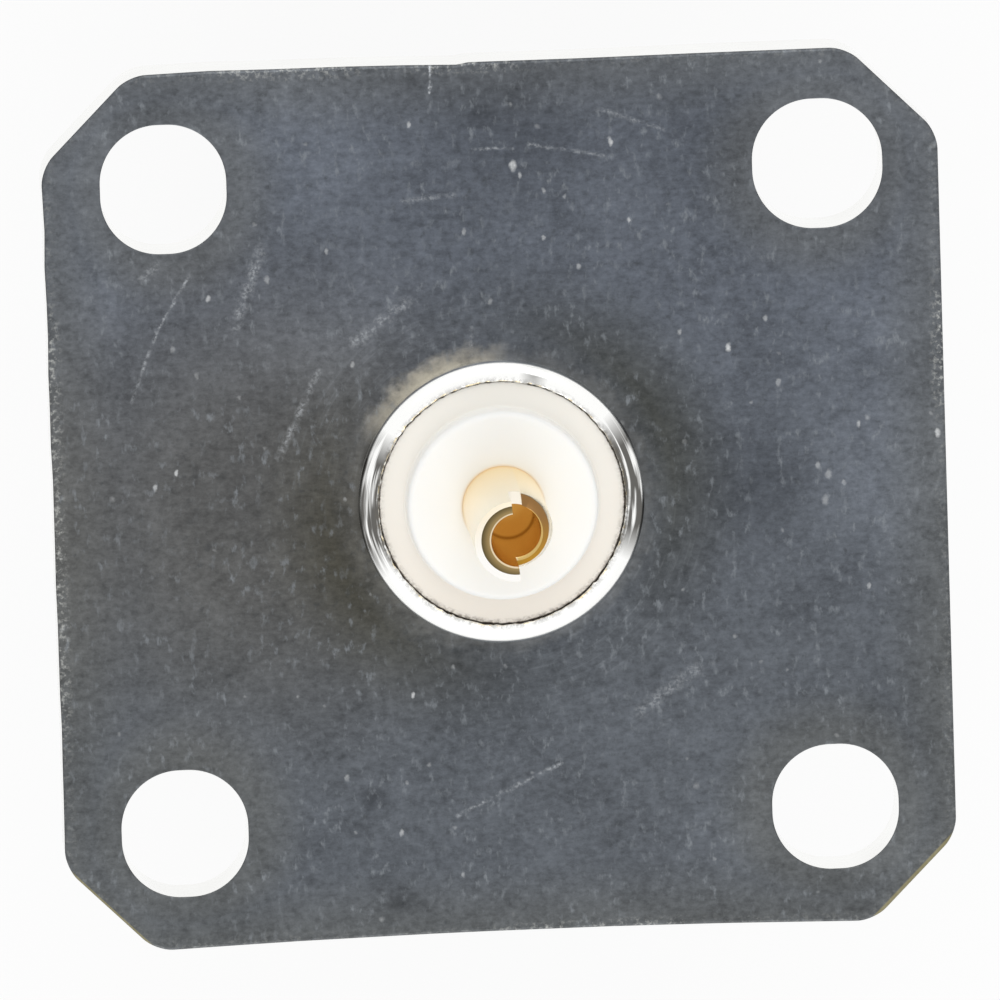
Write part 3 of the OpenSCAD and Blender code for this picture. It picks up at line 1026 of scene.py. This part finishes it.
def gold(name, pale, deep, gloss, fade=("cloud", 0, 1)):
    """Gold plating over turned brass: warm, glossy, with fine rings round the axis.

    The colour fades from pale to deep, over a cloud, the radius from the bore or one of the axes.
    """
    material, node, point = new_material(name)
    sides = node("SeparateXYZ", point).outputs
    over, start, end = fade
    if over == "radius":
        flat = node("VectorMath", point, (1, 1, 0), operation="MULTIPLY")
        share = node("VectorMath", flat, (*BORE_CENTRE, 0), operation="DISTANCE")
    elif over == "cloud":
        share = node("TexNoise", point, 2.5, 3, 0.6)
    else:
        share = sides[over]
    share = node("MapRange", share, start, end, 0, 1)
    colour = node("Mix", share, linear(pale), linear(deep), data_type="RGBA")
    # Rings 0.07 mm apart
    rings = node("TexNoise", sides["Z"], 14, 3, 0.65, noise_dimensions="1D")
    bump = node("Bump", 0.12, 0.003 * MM, sockets={"Height": rings})
    shader = node(
        "BsdfPrincipled",
        sockets={"Base Color": colour, "Metallic": 1, "Roughness": gloss, "Normal": bump},
    )
    node("OutputMaterial", shader)
    return material


def white_paper():
    """Matt white paper: plain and pale, with a soft shadow of the jack."""
    material, node, point = new_material("white_paper")
    # Shines white to metal and glass, and most of the way to the camera
    ray = node("LightPath").outputs
    share = node("Math", ray["Is Camera Ray"], 0.85, operation="MULTIPLY")
    share = node("Math", share, ray["Is Glossy Ray"], operation="MAXIMUM")
    share = node("Math", share, ray["Is Transmission Ray"], operation="MAXIMUM")
    matt = node("BsdfDiffuse", linear("#f6f6f6"))
    # Metal sees a grey patch 45 mm to the left and right, longer along Y, that fades out over 26 mm
    away = node("VectorMath", point, operation="ABSOLUTE")
    away = node("VectorMath", away, (1, 0.45, 1), operation="MULTIPLY")
    away = node("VectorMath", away, (45, 0, 0), operation="DISTANCE")
    dimmed = node("MapRange", away, 36, 10, 1, 0.25, interpolation_type="SMOOTHSTEP")
    strength = node("Mix", ray["Is Glossy Ray"], 1, dimmed)
    glow = node("Emission", linear("#ffffff"), strength)
    node("OutputMaterial", node("MixShader", share, matt, glow))
    return material


# Bands that hold the middles of the solder cup's faces: beside the cut wall, above the short lip for
# the tall lip's bevel, outside the bore and below the short lip for a lip's edge, and along the bore
CUT_BAND = 0.1
BEVEL_BAND = 0.5
LIP_BAND = 0.15
LIP_DEPTH = 0.1
BORE_BAND = 0.004


def is_flange_flat(face):
    """A face on the back or the front of the flange, with its rounded edge."""
    height = face.calc_center_median().z / MM
    if face.normal.z > SLOPING:
        return -FLANGE_BEVEL - CLOSE < height < CLOSE
    return face.normal.z < -LEVEL and FRONT_Z - SKIN < height < FRONT_Z + CLOSE


def is_rolled_rim(face):
    """A face of the low hub behind the flange, with the rim rolled over the insulator."""
    middle = face.calc_center_median() / MM
    return middle.z > SKIN and middle.xy.length < HUB_R + CLOSE


def is_flange_wall(face):
    """A wall round the flange or in one of its holes."""
    middle = face.calc_center_median() / MM
    in_plate = FRONT_Z < middle.z < 0 and -LEVEL < face.normal.z < SLOPING
    return in_plate and middle.xy.length > BARREL_R + ROOT_FILLET


def is_tall_lip(face):
    """The flat end of the solder cup's tall side, or the cut wall beside it."""
    middle = face.calc_center_median() / MM
    on_end = face.normal.z > LEVEL and abs(middle.z - TALL_Z) < CLOSE
    on_wall = face.normal.x > LEVEL and abs(middle.x) < CUT_BAND
    return on_end or (on_wall and middle.z > SHORT_Z - SLIT_DEPTH)


def is_tall_bevel(face):
    """The bevel round the outside of the solder cup's tall lip."""
    middle = face.calc_center_median() / MM
    outside = middle.xy.length > TALL_LIP_R and middle.z > SHORT_Z + BEVEL_BAND
    return outside and SLOPING < face.normal.z < LEVEL


def is_slit_floor(face):
    """The floor of the narrow slit beside the tall lip."""
    middle = face.calc_center_median() / MM
    return face.normal.z > LEVEL and abs(middle.z - SHORT_Z + SLIT_DEPTH) < CLOSE


def is_short_lip(face):
    """The flat end of the cut-down side of the solder cup."""
    middle = face.calc_center_median() / MM
    return face.normal.z > LEVEL and abs(middle.z - SHORT_Z) < CLOSE


def from_bore(middle):
    """Distance of a place from the axis of the solder cup's bore."""
    return (middle.xy - Vector(BORE_CENTRE)).length


def is_lip_edge(face):
    """The narrow slope between a lip and the bore of the solder cup."""
    middle = face.calc_center_median() / MM
    inside = CUP_BORE_R < from_bore(middle) < CUP_BORE_R + LIP_BAND
    return inside and SLOPING < face.normal.z < LEVEL and middle.z > SHORT_Z - LIP_DEPTH


def is_cup_wall(face):
    """The wall of the solder cup's bore."""
    middle = face.calc_center_median() / MM
    return from_bore(middle) < CUP_BORE_R + BORE_BAND and middle.z > CUP_FLOOR_Z + CLOSE


def is_cup_floor(face):
    """The floor of the solder cup's bore."""
    middle = face.calc_center_median() / MM
    return from_bore(middle) < CUP_BORE_R and abs(middle.z - CUP_FLOOR_Z) < CLOSE


def paint(piece, finish, extra=()):
    """Gives a piece its finish, and the faces that a test names another."""
    piece.data.materials.append(finish)
    edit(piece)
    for number, (test, other) in enumerate(extra, 1):
        piece.data.materials.append(other)
        pick(piece, "FACE", test)
        piece.active_material_index = number
        bpy.ops.object.material_slot_assign()
    close()


body = build_body()
lugs = [build_lug("lug_left", -1), build_lug("lug_right", 1)]
front = build_front_insulator()
rear = build_rear_insulator()
contact = build_contact()

shiny_nickel = bright_nickel("nickel_plating_bright", "#b4b3ae", "#cdccc8", 0.2)
ptfe = turned_ptfe()
paint(
    body,
    shiny_nickel,
    [
        (is_flange_flat, dull_nickel()),
        (is_rolled_rim, burnished_nickel()),
        (is_flange_wall, bright_nickel("nickel_plating_on_cut_walls", "#f1f1ee", "#fcfcfa", 0.15)),
    ],
)
for lug in lugs:
    paint(lug, shiny_nickel)
paint(front, ptfe)
paint(rear, ptfe)
paint(
    contact,
    gold("gold_plating", "#fff4da", "#ffe4aa", 0.2, ("Z", 4.2, 0.9)),
    [
        (is_tall_lip, gold("gold_plating_olive", "#a38b5e", "#63563a", 0.3, ("radius", 0.54, 0.68))),
        (is_tall_bevel, gold("gold_plating_on_bevel", "#fffdf9", "#fff3da", 0.2, ("Y", -0.3, 0.5))),
        (is_slit_floor, gold("gold_plating_in_slit", "#fdf6e8", "#fbf3e3", 0.2)),
        (is_short_lip, gold("gold_plating_browned", "#b98a34", "#8f6b42", 0.3, ("Y", -0.5, 0.3))),
        (is_lip_edge, gold("gold_plating_on_lip_edge", "#e8d5b4", "#cfb06e", 0.2, ("X", 0, 0.1))),
        (is_cup_wall, gold("gold_plating_cup_wall", "#dfbd7d", "#dbb672", 0.15)),
        # Cup floor: darker towards its edge, as painted shade in the corner with the wall
        (
            is_cup_floor,
            gold("gold_plating_cup_floor", "#c28c41", "#8f5c1c", 0.15, ("radius", 0.46, 0.515)),
        ),
    ],
)

PIECES = [
    (body, "body", "nickel_plated_brass"),
    (lugs[0], "bayonet_lug_left", "nickel_plated_brass"),
    (lugs[1], "bayonet_lug_right", "nickel_plated_brass"),
    (front, "front_insulator", "ptfe"),
    (rear, "rear_insulator", "ptfe"),
    (contact, "centre_contact", "gold_plated_brass"),
]
for piece, cad_node, slot in PIECES:
    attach(piece, "root")
    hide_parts(cad_node)

# White floor that the jack stands on, mouth down
FLOOR_SIZE = 4
bpy.ops.object.select_all(action="DESELECT")
bpy.ops.mesh.primitive_plane_add(size=FLOOR_SIZE, location=(0, 0, MOUTH_Z * MM))
floor = bpy.context.object
floor.name = "floor"
floor.data.materials.append(white_paper())

# Even white surroundings: white to the camera and to metal, a little less as light on the object
FILL = 0.85
world = bpy.data.worlds.new("studio")
bpy.context.scene.world = world
world.use_nodes = True
world.node_tree.nodes.clear()
node = partial(add, world.node_tree)
ray = node("LightPath").outputs
seen = node("Math", ray["Is Camera Ray"], ray["Is Glossy Ray"], operation="MAXIMUM")
seen = node("Math", seen, ray["Is Transmission Ray"], operation="MAXIMUM")
level = node("MapRange", seen, 0, 1, FILL, 1)
node("OutputWorld", node("Background", linear("#ffffff"), level))

# One softbox above and one below in the picture: place and size in metres, power in watts
LAMP_REACH = 0.35
LAMP_SIZE = 0.3
LAMP_POWER = 0.42
for side in (-1, 1):
    bpy.ops.object.light_add(type="AREA", location=(0, side * LAMP_REACH, LAMP_REACH))
    lamp = bpy.context.object
    lamp.data.size = LAMP_SIZE
    lamp.data.energy = LAMP_POWER
    lamp.rotation_euler = Vector((0, side, 1)).to_track_quat("Z", "Y").to_euler()
    lamp.visible_camera = False

# Camera above the flange, 10 degrees off its axis, through a long lens: the picture's width and the
# place of its middle in pixels, its scale, and the sensor's width and the distance in millimetres
PICTURE_W = 1000
PICTURE_MIDDLE = (-0.64, -0.84)
PIXELS_PER_MM = 51.48
SENSOR_W = 36
DISTANCE = 400
back = Vector((-0.0555, 0.1736, 0.9834)).normalized()
right = Vector((0.9977, -0.0309, 0.0618))
right = (right - right.dot(back) * back).normalized()
up = back.cross(right)
aim = right * (PICTURE_MIDDLE[X] / PIXELS_PER_MM) + up * (PICTURE_MIDDLE[Y] / PIXELS_PER_MM)
turn = Matrix((right, up, back)).transposed().to_4x4()
bpy.ops.object.camera_add()
camera = bpy.context.object
camera.matrix_world = Matrix.Translation((aim + back * DISTANCE) * MM) @ turn
camera.data.sensor_width = SENSOR_W
camera.data.lens = SENSOR_W * PIXELS_PER_MM * DISTANCE / PICTURE_W
bpy.context.scene.camera = camera

bpy.context.scene.view_settings.view_transform = "Standard"
